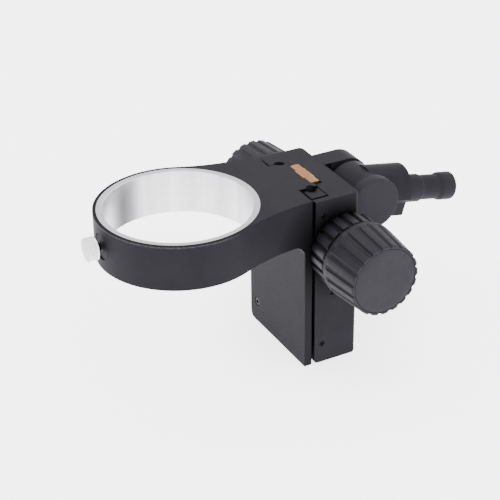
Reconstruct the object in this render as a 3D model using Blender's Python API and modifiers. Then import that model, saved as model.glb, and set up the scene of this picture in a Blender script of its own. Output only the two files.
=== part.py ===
"""Focusing holder for a stereo microscope head.

A 76 mm head ring on an arm slides up and down a housing on two steel rods,
driven by a rack and pinion with a knob on each side. A knuckle with a 5/8 inch
pin tilts behind the housing. Frame: +X towards the right-hand knob, +Y towards
the mounting pin, +Z up. Origin on the housing's base under the pinion axis.
"""

import bpy
import bmesh
import numpy as np
from math import acos, asin, atan2, cos, hypot, pi, radians, sin, sqrt, tan
from mathutils import Matrix, Vector

MM = 0.001
GAP = 0.3              # clearance kept between touching pieces

# housing
HOUSING_W = 59.6       # across X
HOUSING_FRONT = -17.0
HOUSING_REAR = 8.8
HOUSING_H = 97.1
CHANNEL_X = 16.0       # half width of the slide channel
CHANNEL_FLOOR = -7.2
RACK_SLOT_X = 11.7
RACK_SLOT_FLOOR = -2.7
GIB_X1 = 25.4
GIB_GAP = 0.7          # slit that the gib screws take up
GROOVE_Y = -11.9       # centre of the rod grooves
GROOVE_D = 2.4
GROOVE_HALF = 2.8      # half of the groove's opening
GROOVE_FLAT = 0.9      # half of its flat bottom

# carriage
CARRIAGE_Z0, CARRIAGE_Z1 = 0.3, 98.45
PLATE_FRONT, PLATE_REAR = -22.9, -18.6
ARM_Z0 = 74.2
RING_Y = -79.2
BORE_R = 38.0
RING_R = 42.9
ARM_SIDE_R = 100.0     # concave side of the arm where it runs into the ring
TONGUE_X = 15.85
TONGUE_BACK = -7.8

# rack and pinion
MODULE = 0.7
TEETH = 12
PITCH_R = MODULE * TEETH / 2
PRESSURE = radians(20)
PINION_Z = 67.2
PINION_W = 12.0
SHAFT_R = 2.5
BACKLASH = 0.14

# knobs
KNOB_X0, KNOB_X1 = 43.8, 69.7
KNOB_R0, KNOB_R1 = 21.2, 19.3
FLUTES = 20
FLUTE_PHASE = radians(10)
COLLAR_R = 20.2
COLLAR_SLOTS = 20

# tilt joint and mounting pin
HINGE_Y, HINGE_Z = 27.4, 78.7
KNUCKLE_R = 13.4
KNUCKLE_X0 = -11.0     # end that faces the ear
LUG_X0, LUG_X1 = -28.1, -14.9
LUG_Y = 29.2           # centre of the ear's rounded end
LUG_R = 12.8
DISC_R = 14.5
PIN_PITCH = radians(10.5)

# head clamp
CLAMP_Z = 86.6
STOP_X, STOP_Z = -22.6, 12.7
FOCUS_DOWN, FOCUS_UP = 8.0, 42.0


# ------------------------------------------------------------------ scene

for old in list(bpy.data.objects):
    bpy.data.objects.remove(old, do_unlink=True)

PARTS = bpy.data.collections.new("microscope_focus_holder")
CUTTERS = bpy.data.collections.new("cutters")
for group in (PARTS, CUTTERS):
    bpy.context.scene.collection.children.link(group)


def material(name, colour, roughness, metallic):
    mat = bpy.data.materials.new(name)
    mat.use_nodes = True
    shader = mat.node_tree.nodes["Principled BSDF"]
    shader.inputs["Base Color"].default_value = (*colour, 1.0)
    shader.inputs["Roughness"].default_value = roughness
    shader.inputs["Metallic"].default_value = metallic
    mat.diffuse_color = (*colour, 1.0)
    return mat


LOOKS = {
    "paint": ((0.055, 0.056, 0.062), 0.45, 0.0),
    "plastic": ((0.05, 0.05, 0.054), 0.5, 0.0),
    "aluminium": ((0.82, 0.82, 0.83), 0.3, 1.0),
    "steel": ((0.5, 0.5, 0.52), 0.3, 1.0),
    "dark_steel": ((0.09, 0.09, 0.1), 0.4, 0.8),
    "brass": ((0.72, 0.5, 0.27), 0.35, 1.0),
    "fibre": ((0.35, 0.1, 0.06), 0.8, 0.0),
    "nylon": ((0.8, 0.8, 0.76), 0.5, 0.0),
}

# body name -> (empty on the joint's axis, its position)
BODY_AT = {
    "housing": (0, 0, 0),
    "carriage": (0, PLATE_REAR, 0),
    "focus_shaft": (0, 0, PINION_Z),
    "collar": (0, 0, PINION_Z),
    "clamp_tip": (0, RING_Y - BORE_R, CLAMP_Z),
    "clamp_screw": (0, RING_Y - RING_R, CLAMP_Z),
    "tilt": (0, HINGE_Y, HINGE_Z),
}
BODIES = {}
for body, at in BODY_AT.items():
    empty = bpy.data.objects.new("axis_" + body, None)
    empty.empty_display_size = 0.01
    empty.location = Vector(at) * MM
    PARTS.objects.link(empty)
    BODIES[body] = empty


def frame_matrix(origin, u, v):
    """Local X along u, local Y along v, local Z along u x v."""
    u, v = Vector(u).normalized(), Vector(v).normalized()
    w = u.cross(v)
    m = Matrix((u, v, w)).transposed().to_4x4()
    m.translation = Vector(origin) * MM
    return m


FRAMES = {"X": ((0, 1, 0), (0, 0, 1)), "Z": ((1, 0, 0), (0, 1, 0)), "Y": ((0, 0, 1), (1, 0, 0))}


def node(name, obj, body, look):
    """Names a finished piece, gives it its own material and hangs it on its body's empty."""
    obj.name = name
    obj.data.name = name
    colour, roughness, metallic = LOOKS[look]
    mat = material(name + "_material", colour, roughness, metallic)
    obj.data.materials.clear()
    obj.data.materials.append(mat)
    parent = BODIES[body]
    obj.parent = parent
    obj.location = obj.location - parent.location
    return obj


def outline(points, lo, hi, origin=(0, 0, 0), axis="Z", frame=None, shrink=None):
    """A closed flat outline, in mm, extruded from lo to hi along the axis.
    For X the outline is (y, z), for Y it is (z, x), for Z it is (x, y).
    Further outlines in the list are holes. shrink tapers the end at hi."""
    loops = points if isinstance(points[0], list) else [points]
    curve = bpy.data.curves.new("outline", "CURVE")
    curve.dimensions = "2D"
    curve.fill_mode = "BOTH"
    curve.extrude = (hi - lo) / 2 * MM
    for loop in loops:
        spline = curve.splines.new("POLY")
        spline.points.add(len(loop) - 1)
        for point, (a, b) in zip(spline.points, loop):
            point.co = (a * MM, b * MM, 0, 1)
        spline.use_cyclic_u = True
    source = bpy.data.objects.new("outline", curve)
    PARTS.objects.link(source)
    bpy.context.view_layer.update()
    seen = source.evaluated_get(bpy.context.evaluated_depsgraph_get())
    mesh = bpy.data.meshes.new_from_object(seen)
    bpy.data.objects.remove(source, do_unlink=True)
    bm = bmesh.new()
    bm.from_mesh(mesh)
    bmesh.ops.remove_doubles(bm, verts=bm.verts, dist=1e-7)
    bmesh.ops.translate(bm, verts=bm.verts, vec=(0, 0, (hi + lo) / 2 * MM))
    if shrink:
        top = [v for v in bm.verts if v.co.z > (hi + lo) / 2 * MM]
        for v in top:
            v.co.x *= shrink
            v.co.y *= shrink
    bmesh.ops.dissolve_limit(bm, angle_limit=1e-4, verts=bm.verts, edges=bm.edges)
    bmesh.ops.recalc_face_normals(bm, faces=bm.faces)
    bm.to_mesh(mesh)
    bm.free()
    obj = bpy.data.objects.new("outline", mesh)
    u, v = frame or FRAMES[axis]
    obj.matrix_world = frame_matrix(origin, u, v)
    PARTS.objects.link(obj)
    return obj


def turned(profile, segments, origin=(0, 0, 0), axis="Z", frame=None, closed=False):
    """A turned shape: profile points (radius, height) in mm run from the top down the outer side.
    closed makes a ring whose bore is part of the profile."""
    mesh = bpy.data.meshes.new("turned")
    bm = bmesh.new()
    verts = [bm.verts.new((r * MM, 0, h * MM)) for r, h in profile]
    for a, b in zip(verts, verts[1:] + (verts[:1] if closed else [])):
        bm.edges.new((a, b))
    bm.to_mesh(mesh)
    bm.free()
    obj = bpy.data.objects.new("turned", mesh)
    u, v = frame or FRAMES[axis]
    obj.matrix_world = frame_matrix(origin, u, v)
    screw = obj.modifiers.new("turn", "SCREW")
    screw.axis = "Z"
    screw.angle = 2 * pi
    screw.steps = segments
    screw.render_steps = segments
    screw.use_merge_vertices = True
    screw.merge_threshold = 1e-5
    screw.use_smooth_shade = True
    PARTS.objects.link(obj)
    return obj


def rod(r, lo, hi, segments, **where):
    return turned([(0, hi), (r, hi), (r, lo), (0, lo)], segments, **where)


def boolean(obj, tool, operation):
    mod = obj.modifiers.new(operation.lower(), "BOOLEAN")
    mod.operation = operation
    mod.solver = "EXACT"
    mod.object = tool
    if tool.name not in CUTTERS.objects:
        PARTS.objects.unlink(tool)
        CUTTERS.objects.link(tool)
        tool.name = "cutter"
        tool.hide_render = True
        tool.display_type = "WIRE"
    return obj


def cut(obj, *tools):
    for tool in tools:
        boolean(obj, tool, "DIFFERENCE")
    return obj


def join(obj, *tools):
    for tool in tools:
        boolean(obj, tool, "UNION")
    return obj


def arc(cx, cy, r, a0, a1, steps):
    """Points of an arc, angles in degrees, both ends included."""
    return [
        (cx + r * cos(radians(a0 + (a1 - a0) * i / steps)), cy + r * sin(radians(a0 + (a1 - a0) * i / steps)))
        for i in range(steps + 1)
    ]


def smooth(obj, angle=35):
    obj.data.shade_smooth()
    obj.data.set_sharp_from_angle(angle=radians(angle))


def hexagon(across, phase=0):
    r = across / sqrt(3)
    return [(r * cos(radians(60 * i + phase)), r * sin(radians(60 * i + phase))) for i in range(6)]


# ---------------------------------------------------------------- housing

W = HOUSING_W / 2
side = (
    arc(HOUSING_FRONT + 2.5, 2.5, 2.5, 180, 270, 4)
    + arc(HOUSING_REAR - 2.5, 2.5, 2.5, -90, 0, 5)
    + [(HOUSING_REAR, HOUSING_H), (HOUSING_FRONT, HOUSING_H)]
)
plan = (
    [(-W, HOUSING_FRONT - 2), (W, HOUSING_FRONT - 2)]
    + arc(W - 2.2, HOUSING_REAR - 2.2, 2.2, 0, 90, 5)
    + arc(-W + 2.2, HOUSING_REAR - 2.2, 2.2, 90, 180, 5)
)
housing = outline(side, -W - 2, W + 2, axis="X")
boolean(housing, outline(plan, -3, HOUSING_H + 3, axis="Z"), "INTERSECT")

# the ear that carries the tilt bolt
drop = radians(-62)
ear = [(HOUSING_REAR - 4, HINGE_Z + LUG_R), (HOUSING_REAR - 4, 56.0), (HOUSING_REAR + 1, 56.0)]
ear += arc(LUG_Y, HINGE_Z, LUG_R, -62, 90, 16)
join(housing, outline(ear, LUG_X0, LUG_X1, axis="X"))
# boss on the ear that the washer bears on
join(housing, rod(9.0, LUG_X1 - 2, KNUCKLE_X0 - 1.3, 28, origin=(0, HINGE_Y, HINGE_Z), axis="X"))

def groove(x, side):
    """Section of a rod groove in a wall at x, cut towards side, from front to rear."""
    deep = x + side * GROOVE_D
    return [(x, GROOVE_Y - GROOVE_HALF), (deep, GROOVE_Y - GROOVE_FLAT), (deep, GROOVE_Y + GROOVE_FLAT), (x, GROOVE_Y + GROOVE_HALF)]


# slide channel with the rack's slot and the left rod groove
y0 = HOUSING_FRONT - 3
channel = [
    (-CHANNEL_X, y0),
    (GIB_X1 + GIB_GAP, y0),
    (GIB_X1 + GIB_GAP, CHANNEL_FLOOR),
    (RACK_SLOT_X, CHANNEL_FLOOR),
    (RACK_SLOT_X, RACK_SLOT_FLOOR),
    (-RACK_SLOT_X, RACK_SLOT_FLOOR),
    (-RACK_SLOT_X, CHANNEL_FLOOR),
    (-CHANNEL_X, CHANNEL_FLOOR),
    *reversed(groove(-CHANNEL_X, -1)),
]
cut(housing, outline(channel, -5, HOUSING_H + 5, axis="Z"))
# pinion bore, stop slot, tilt bolt hole with its counterbore
cut(housing, rod(5.3, -W - 5, W + 5, 32, origin=(0, 0, PINION_Z), axis="X"))
slot = outline(
    arc(STOP_Z - FOCUS_DOWN - GAP, STOP_X, 1.9, 270, 90, 6) + arc(STOP_Z + FOCUS_UP + GAP, STOP_X, 1.9, 90, -90, 6),
    HOUSING_FRONT - 1, HOUSING_FRONT + 2.8, axis="Y",
)
cut(housing, slot)
cut(
    housing,
    turned([(0, LUG_X1 + 3), (4.3, LUG_X1 + 3), (4.3, -20.4), (7.0, -20.4), (7.0, LUG_X0 - 3), (0, LUG_X0 - 3)], 24,
           origin=(0, HINGE_Y, HINGE_Z), axis="X"),
)
# three tapped holes in the right wall
SIDE_SCREWS = {"gib_screw_upper": (GROOVE_Y - 0.3, 88.2, GIB_X1), "gib_screw_lower": (GROOVE_Y - 0.3, 11.5, GIB_X1),
               "lock_screw": (-6.5, 41.8, 26.0)}
for y, z, x_in in SIDE_SCREWS.values():
    cut(housing, rod(1.65, x_in - (1.0 if x_in < 26 else 0), W + 3, 12, origin=(0, y, z), axis="X"))
smooth(node("rack_housing", housing, "housing", "paint"))

gib = [
    (CHANNEL_X, HOUSING_FRONT),
    *groove(CHANNEL_X, 1),
    (CHANNEL_X, CHANNEL_FLOOR - GAP),
    (GIB_X1, CHANNEL_FLOOR - GAP),
    (GIB_X1, HOUSING_FRONT),
]
node("gib_bar", outline(gib, 0.6, HOUSING_H, axis="Z"), "housing", "paint")

for name, (y, z, x_in) in SIDE_SCREWS.items():
    screw = turned([(0, W - 0.5), (1.0, W - 0.5), (1.35, W - 0.8), (1.35, x_in + 0.8), (0.9, x_in + 0.35), (0, x_in + 0.35)], 12,
                   origin=(0, y, z), axis="X")
    cut(screw, outline(hexagon(1.5), W - 2.2, W + 1, origin=(0, y, z), axis="X"))
    node(name, screw, "housing", "dark_steel")

for name, sign in (("slide_rod_left", -1), ("slide_rod_right", 1)):
    x = sign * (CHANNEL_X - 0.07)
    pin = turned([(0, 84), (1.5, 84), (1.9, 83.6), (1.9, 6.4), (1.5, 6), (0, 6)], 14, origin=(x, GROOVE_Y, 0), axis="Z")
    node(name, pin, "housing", "steel")


def about_x(profile, sign):
    """A turned profile along X, or its copy for the left side, still running down its outer side."""
    return profile if sign > 0 else [(r, -h) for r, h in reversed(profile)]


for side_name, sign in (("right", 1), ("left", -1)):
    bush = [
        (SHAFT_R + 0.08, 41.4), (6.5, 41.4), (6.5, 32.9), (8.5, 32.9), (8.5, W + GAP), (5.0, W + GAP), (5.0, 12.6), (SHAFT_R + 0.08, 12.6),
    ]
    node("bushing_" + side_name, turned(about_x(bush, sign), 18, origin=(0, 0, PINION_Z), axis="X", closed=True), "housing", "brass")
    washer = [(6.9, 43.5), (18.6, 43.5), (18.6, 42.9), (6.9, 42.9)]
    node("friction_washer_" + side_name, turned(about_x(washer, sign), 28, origin=(0, 0, PINION_Z), axis="X", closed=True),
         "housing", "fibre")

collar_profile = [
    (6.8, 42.6), (COLLAR_R - 0.8, 42.6), (COLLAR_R, 41.8), (COLLAR_R, W + 1.1), (COLLAR_R - 0.6, W + 0.5), (8.9, W + 0.5),
    (8.9, 33.2), (6.8, 33.2),
]
collar = turned(collar_profile, 32, origin=(0, 0, PINION_Z), axis="X", closed=True)
tool = bpy.data.meshes.new("slots")
bm = bmesh.new()
for i in range(COLLAR_SLOTS):
    a = 2 * pi * i / COLLAR_SLOTS + FLUTE_PHASE
    turn = Matrix.Rotation(a, 4, "Z")
    made = bmesh.ops.create_cube(bm, size=1.0)
    bmesh.ops.scale(bm, verts=made["verts"], vec=(3.0 * MM, 2.0 * MM, 20 * MM))
    bmesh.ops.translate(bm, verts=made["verts"], vec=((COLLAR_R + 0.3) * MM, 0, 37 * MM))
    bmesh.ops.transform(bm, verts=made["verts"], matrix=turn)
bm.to_mesh(tool)
bm.free()
slots = bpy.data.objects.new("slots", tool)
slots.matrix_world = frame_matrix((0, 0, PINION_Z), *FRAMES["X"])
PARTS.objects.link(slots)
cut(collar, slots)
node("tension_collar", collar, "collar", "plastic")
node("spacer_collar", turned(about_x(collar_profile, -1), 32, origin=(0, 0, PINION_Z), axis="X", closed=True),
     "housing", "plastic")

# ------------------------------------------------------------- tilt bolt

hinge = (0, HINGE_Y, HINGE_Z)
bolt = turned(
    [(0, 14.9), (3.4, 14.9), (4.0, 14.3), (4.0, -20.8), (6.5, -20.8), (6.5, -27.0), (6.0, -27.5), (0, -27.5)],
    24, origin=hinge, axis="X",
)
cut(bolt, outline(hexagon(6.0), -30, -24.4, origin=hinge, axis="X"))
node("tilt_bolt", bolt, "housing", "dark_steel")
disc = turned([(0, 16.5), (DISC_R - 0.5, 16.5), (DISC_R, 16.0), (DISC_R, 10.9), (DISC_R - 0.4, 10.5), (4.3, 10.5), (4.3, 15.2), (0, 15.2)],
              40, origin=hinge, axis="X")
node("tilt_disc", disc, "housing", "paint")
node("tilt_washer", turned([(4.3, -11.3), (12.7, -11.3), (12.7, -12.0), (4.3, -12.0)], 28, origin=hinge, axis="X", closed=True),
     "housing", "fibre")

# --------------------------------------------------------------- carriage

# plan of arm and ring: straight at the plate, concave sides, round ring
half = W + 0.05
rise = sqrt((RING_R + ARM_SIDE_R) ** 2 - (half + ARM_SIDE_R) ** 2)
cx, cy = half + ARM_SIDE_R, RING_Y + rise
touch = atan2(cy - RING_Y, cx)
end = asin((PLATE_REAR - cy) / ARM_SIDE_R) if PLATE_REAR < cy else 0.0
right = arc(cx, cy, ARM_SIDE_R, 180 - np.degrees(end), 180 + np.degrees(touch), 12)
right = [(half, PLATE_REAR)] + [p for p in right if p[1] < PLATE_REAR - 0.2]
front = arc(0, RING_Y, RING_R, np.degrees(touch), -180 - np.degrees(touch), 60)
left = [(-x, y) for x, y in reversed(right)]
arm_plan = right + front[1:-1] + left
arm = outline(arm_plan, ARM_Z0, CARRIAGE_Z1, axis="Z")
bm = bmesh.new()
bm.from_mesh(arm.data)
rim = [
    e for e in bm.edges
    if abs(e.verts[0].co.z - e.verts[1].co.z) < 1e-6 and max(v.co.y for v in e.verts) < (PLATE_REAR + 0.1) * MM
    and not all(abs(v.co.y - PLATE_REAR * MM) < 1e-6 for v in e.verts)
    and len(e.link_faces) == 2 and abs(e.link_faces[0].normal.z - e.link_faces[1].normal.z) > 0.5
]
bmesh.ops.bevel(bm, geom=rim, offset=0.6 * MM, segments=1, profile=0.5, affect="EDGES")
bm.to_mesh(arm.data)
bm.free()

fillet = 6.5
web = (
    [(PLATE_REAR, CARRIAGE_Z0), (PLATE_REAR, 85.0), (PLATE_FRONT - fillet - 0.6, 85.0), (PLATE_FRONT - fillet - 0.6, ARM_Z0 + 0.05)]
    + arc(PLATE_FRONT - fillet, ARM_Z0 - fillet + 0.05, fillet, 90, 0, 6)
    + [(PLATE_FRONT, CARRIAGE_Z0 + 0.6), (PLATE_FRONT + 0.6, CARRIAGE_Z0)]
)
plate = outline(web, -W, W, axis="X")
face = [(-W, 90.0), (-W, CARRIAGE_Z0 + 3.5)] + arc(-W + 3.5, CARRIAGE_Z0 + 3.5, 3.5, 180, 270, 5)[1:]
face += arc(W - 1.0, CARRIAGE_Z0 + 1.0, 1.0, -90, 0, 3) + [(W, 90.0)]
boolean(plate, outline([(z, x) for x, z in face], PLATE_FRONT - 15, PLATE_REAR + 2, axis="Y"), "INTERSECT")
edge = [(PLATE_FRONT - 0.5, W - 1.5), (PLATE_FRONT - 0.5, W + 0.5), (PLATE_FRONT + 1.0, W + 0.5), (PLATE_FRONT + 1.0, W), (PLATE_FRONT, W - 1.0)]
cut(plate, outline([(x, y) for y, x in edge], -2, 66.0, axis="Z"))
half_tongue = [
    (TONGUE_X, PLATE_REAR - 0.3),
    *groove(TONGUE_X, -1),
    (TONGUE_X, TONGUE_BACK),
    (11.35, TONGUE_BACK),
    (11.35, -9.1),
    (4.8, -9.1),
    (4.8, -9.8),
]
tongue = outline(half_tongue + [(-x, y) for x, y in reversed(half_tongue)], CARRIAGE_Z0, CARRIAGE_Z1, axis="Z")
join(arm, plate, tongue)
bore = turned(
    [(0, CARRIAGE_Z1 + 2), (BORE_R + 2.5, CARRIAGE_Z1 + 2), (BORE_R, CARRIAGE_Z1 - 0.5), (BORE_R, ARM_Z0 + 0.6),
     (BORE_R + 1.6, ARM_Z0 - 1), (0, ARM_Z0 - 1)],
    72, origin=(0, RING_Y, 0), axis="Z",
)
cut(arm, bore)
# clamp hole through the ring with its spot face, stop screw hole, rack screw holes
clamp_at = (0, 0, CLAMP_Z)
cut(arm, turned([(0, RING_Y - BORE_R + 5), (2.7, RING_Y - BORE_R + 5), (2.7, RING_Y - RING_R + 0.7), (7.0, RING_Y - RING_R + 0.7),
                 (7.0, RING_Y - RING_R - 5), (0, RING_Y - RING_R - 5)], 24, origin=clamp_at, axis="Y"))
stop_at = (STOP_X, 0, STOP_Z)
cut(arm, rod(2.6, PLATE_FRONT - 2, PLATE_REAR + 2, 16, origin=stop_at, axis="Y"))
RACK_SCREWS = {"rack_screw_1": (-8.4, 26.0), "rack_screw_2": (8.4, 26.0), "rack_screw_3": (-8.4, 86.0), "rack_screw_4": (8.4, 86.0)}
for x, z in RACK_SCREWS.values():
    cut(arm, rod(1.55, -14.4, -5.0, 10, origin=(x, 0, z), axis="Y"))
smooth(node("head_ring_arm", arm, "carriage", "paint"))

stop = turned([(0, -14.6), (1.3, -14.6), (1.5, -14.9), (1.5, PLATE_REAR + 0.4), (2.3, PLATE_REAR - 0.4), (2.3, PLATE_FRONT + 0.6),
               (2.0, PLATE_FRONT + 0.2), (0, PLATE_FRONT + 0.2)], 16, origin=stop_at, axis="Y")
cut(stop, outline(hexagon(2.5), PLATE_FRONT - 1, PLATE_FRONT + 2.4, origin=stop_at, axis="Y"))
node("stop_screw", stop, "carriage", "dark_steel")

# ----------------------------------------------------------- rack, pinion

PITCH = pi * MODULE
PITCH_LINE = -PITCH_R
ADD, DED = MODULE, 1.25 * MODULE


def rack_half(h):
    """Half thickness of a rack tooth at height h over its pitch line."""
    return PITCH / 4 - BACKLASH / 2 - h * tan(PRESSURE)


def rack_teeth(z_lo, z_hi, z_end, back):
    """Side outline (y, z) of the toothed bar, with a tooth space facing the pinion, and a solid end over z_hi."""
    points = [(back, z_lo)]
    first = int(np.ceil((z_lo - PINION_Z) / PITCH + 0.5))
    last = int(np.floor((z_hi - PINION_Z) / PITCH - 0.5))
    points.append((PITCH_LINE - DED, z_lo))
    for k in range(first, last + 1):
        mid = PINION_Z + (k + 0.5) * PITCH - PITCH
        if mid - rack_half(-DED) < z_lo + 0.2 or mid + rack_half(-DED) > z_hi - 0.2:
            continue
        points += [
            (PITCH_LINE - DED, mid - rack_half(-DED)),
            (PITCH_LINE + ADD, mid - rack_half(ADD)),
            (PITCH_LINE + ADD, mid + rack_half(ADD)),
            (PITCH_LINE - DED, mid + rack_half(-DED)),
        ]
    points += [(PITCH_LINE - DED, z_hi), (PITCH_LINE + ADD, z_hi), (PITCH_LINE + ADD, z_end), (back, z_end)]
    return points


def pinion_outline():
    """One pinion tooth is what a rolling rack leaves of the blank, found along radii from root to tip."""
    radii = [PITCH_R - DED, PITCH_R - 0.72 * DED, PITCH_R - 0.36 * DED, PITCH_R, PITCH_R + 0.5 * ADD, PITCH_R + ADD]
    rolls = np.linspace(-0.9, 0.9, 361)
    thetas = np.linspace(0, pi / TEETH, 200)
    widths = []
    for r in radii:
        psi = thetas[:, None] + rolls[None, :]
        height = PITCH_R - r * np.cos(psi)
        along = r * np.sin(psi) - PITCH_R * rolls[None, :] - PITCH / 2
        along = np.abs((along + PITCH / 2) % PITCH - PITCH / 2)
        inside = (height < ADD + 0.03) & (along < PITCH / 4 - height * tan(PRESSURE)) & (height > -2.0)
        free = ~inside.any(axis=1)
        widths.append(thetas[free].max() if free.any() else 0.0)
    widths[-1] = max(widths[-1], 0.03)
    tooth = [(r, -w) for r, w in zip(radii, widths)] + [(r, w) for r, w in reversed(list(zip(radii, widths)))]
    points = []
    for k in range(TEETH):
        mid = pi + 2 * pi * k / TEETH
        points += [(r * cos(mid + w), r * sin(mid + w)) for r, w in tooth]
    return points


rack = outline(
    [(-11.0, -8.8), (-4.5, -8.83), (-4.5, -9.5), (4.5, -9.5), (4.5, -8.83), (11.0, -8.8), (11.0, -5.4), (-11.0, -5.4)],
    16.0, 98.2, axis="Z",
)
# the untoothed top end is as deep as the teeth
crown = outline([(-10.9, -7.0), (10.9, -7.0), (10.9, -3.8), (-10.9, -3.8)], 92.7, 98.12, axis="Z")
join(rack, outline(rack_teeth(16.5, 92.4, 98.16, -7.2), -5.6, 5.6, axis="X"), crown)
for x, z in RACK_SCREWS.values():
    cut(rack, rod(1.55, -11.0, -3.0, 10, origin=(x, 0, z), axis="Y"))
node("focus_rack", rack, "carriage", "brass")

for name, (x, z) in RACK_SCREWS.items():
    at = (x, 0, z)
    screw = turned([(0, -3.5), (1.7, -3.5), (2.0, -3.8), (2.0, -5.1), (1.25, -5.1), (1.25, -13.6), (0.9, -14.0), (0, -14.0)], 12,
                   origin=at, axis="Y")
    cut(screw, outline(hexagon(2.0), -4.5, -3.0, origin=at, axis="Y"))
    node(name, screw, "carriage", "steel")

shaft_at = (0, 0, PINION_Z)
shaft = turned([(0, 57.9), (2.1, 57.9), (SHAFT_R, 57.5), (SHAFT_R, -57.5), (2.1, -57.9), (0, -57.9)], 18, origin=shaft_at, axis="X")
for sign in (1, -1):
    lo, hi = sorted((sign * 48.0, sign * 60.0))
    cut(shaft, rod(1.3, lo, hi, 10, origin=shaft_at, axis="X"))
node("pinion_shaft", shaft, "focus_shaft", "steel")
pinion = outline(pinion_outline(), -PINION_W / 2, PINION_W / 2, origin=shaft_at, axis="X")
cut(pinion, rod(SHAFT_R + 0.04, -PINION_W, PINION_W, 18, origin=shaft_at, axis="X"))
node("pinion", pinion, "focus_shaft", "steel")

# ------------------------------------------------------------------ knobs

knob_profile = [
    (1.8, 62.0), (6.0, 62.0), (6.0, 67.2), (17.9, 67.2), (17.9, KNOB_X1), (KNOB_R1 - 0.6, KNOB_X1), (KNOB_R1, KNOB_X1 - 0.6),
    (KNOB_R0, KNOB_X0 + 4.5), (KNOB_R0, KNOB_X0 + 0.6), (KNOB_R0 - 0.6, KNOB_X0), (18.4, KNOB_X0), (17.4, 60.5), (7.2, 60.5),
    (7.2, KNOB_X0), (SHAFT_R + GAP, KNOB_X0), (SHAFT_R + GAP, 58.2), (1.8, 58.2),
]


def flute_ring(crest, valley):
    points = []
    for k in range(FLUTES):
        for at, r in ((-0.23, crest), (-0.14, valley), (0.14, valley), (0.23, crest)):
            a = 2 * pi * (k + at) / FLUTES + FLUTE_PHASE
            points.append((r * cos(a), r * sin(a)))
    return points


for side_name, sign in (("right", 1), ("left", -1)):
    knob = turned(about_x(knob_profile, sign), FLUTES * 2, origin=shaft_at, axis="X", closed=True)
    ring = [[(28 * cos(2 * pi * k / 24), 28 * sin(2 * pi * k / 24)) for k in range(24)], flute_ring(KNOB_R0 + 0.12, KNOB_R0 - 0.9)]
    frame = FRAMES["X"] if sign > 0 else ((0, -1, 0), (0, 0, 1))
    cutter = outline(ring, KNOB_X0 + 3.6, KNOB_X1 + 2.0, origin=shaft_at, frame=frame, shrink=(KNOB_R1 - 0.1) / (KNOB_R0 + 0.12))
    cut(knob, cutter)
    smooth(node("focus_knob_" + side_name, knob, "focus_shaft", "plastic"), 50)
    cap = about_x([(0, KNOB_X1 - 0.05), (17.0, KNOB_X1 - 0.05), (17.6, KNOB_X1 - 0.4), (17.6, 67.5), (0, 67.5)], sign)
    node("knob_cap_" + side_name, turned(cap, 32, origin=shaft_at, axis="X"), "focus_shaft", "plastic")
    screw = turned(about_x([(0, 65.0), (2.6, 65.0), (3.0, 64.6), (3.0, 62.3), (1.0, 62.3), (1.0, 50.0), (0, 50.0)], sign), 16,
                   origin=shaft_at, axis="X")
    lo, hi = sorted((sign * 63.2, sign * 66.0))
    cut(screw, outline(hexagon(2.5), lo, hi, origin=shaft_at, axis="X"))
    node("knob_screw_" + side_name, screw, "focus_shaft", "steel")

# ------------------------------------------------------------- head clamp

head = -130.0          # outer face of the thumbscrew's head
tip = turned([(0, RING_Y - BORE_R - 0.3), (1.9, RING_Y - BORE_R - 0.3), (2.3, RING_Y - BORE_R - 0.7), (2.3, RING_Y - BORE_R - 1.9),
              (0, RING_Y - BORE_R - 1.9)], 16, origin=clamp_at, axis="Y")
node("clamp_tip", tip, "clamp_tip", "nylon")
thumb = turned([(0, RING_Y - BORE_R - 2.2), (2.0, RING_Y - BORE_R - 2.2), (2.4, RING_Y - BORE_R - 2.6), (2.4, head + 6.4),
                (3.4, head + 6.4), (3.4, head + 5.3), (5.6, head + 5.3), (6.1, head + 4.8), (6.1, head + 0.4), (5.7, head), (0, head)], 24, origin=clamp_at, axis="Y")
node("clamp_thumbscrew", thumb, "clamp_screw", "aluminium")

# -------------------------------------------------------- knuckle and pin

c, s = cos(PIN_PITCH), sin(PIN_PITCH)
UP = (0, s, c)                   # across the pin, upwards
ALONG = (0, c, -s)               # along the pin, away from the hinge
PIN_FRAME = ((1, 0, 0), tuple(-a for a in UP))   # local Z along the pin
knuckle = turned([(0, 10.2), (KNUCKLE_R - 0.8, 10.2), (KNUCKLE_R, 9.4), (KNUCKLE_R, KNUCKLE_X0 + 0.8), (KNUCKLE_R - 0.8, KNUCKLE_X0), (0, KNUCKLE_X0)], 40,
                 origin=hinge, axis="X")
head_x, head_up = 13.5, 14.6   # half sizes of the neck's rounded section
neck = [(x, -n) for x, n in (
    [(-8.2, -12.0), (-8.9, -11.3), (-9.8, -4.0)] + [(head_x * p, head_up * q) for p, q in arc(0, 0, 1, 182, -2, 26)] + [(9.8, -4.0), (8.9, -11.3), (8.2, -12.0)]
)]
block = outline(neck, 0.5, 25.0, origin=hinge, frame=PIN_FRAME)
bm = bmesh.new()
bm.from_mesh(block.data)
rim = [e for e in bm.edges if all(abs(v.co.z - 25 * MM) < 1e-6 for v in e.verts)
       and len(e.link_faces) == 2 and abs(e.link_faces[0].normal.z - e.link_faces[1].normal.z) > 0.5]
bmesh.ops.bevel(bm, geom=rim, offset=0.6 * MM, segments=2, profile=0.5, affect="EDGES")
bm.to_mesh(block.data)
bm.free()
join(knuckle, block)
cut(
    knuckle,
    rod(DISC_R + 0.5, 10.15, 20.0, 56, origin=hinge, axis="X"),
    rod(KNUCKLE_R + 0.3, -20.0, KNUCKLE_X0 - 0.05, 56, origin=hinge, axis="X"),
    rod(4.3, -20.0, 14.0, 24, origin=hinge, axis="X"),
    rod(5.3, 13.6, 30.0, 24, origin=hinge, frame=PIN_FRAME),
)
SET_S = 19.0
set_at = tuple(h + SET_S * a for h, a in zip(hinge, ALONG))
UP_FRAME = ((1, 0, 0), ALONG)    # local Z along X x ALONG, which is up across the pin
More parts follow.
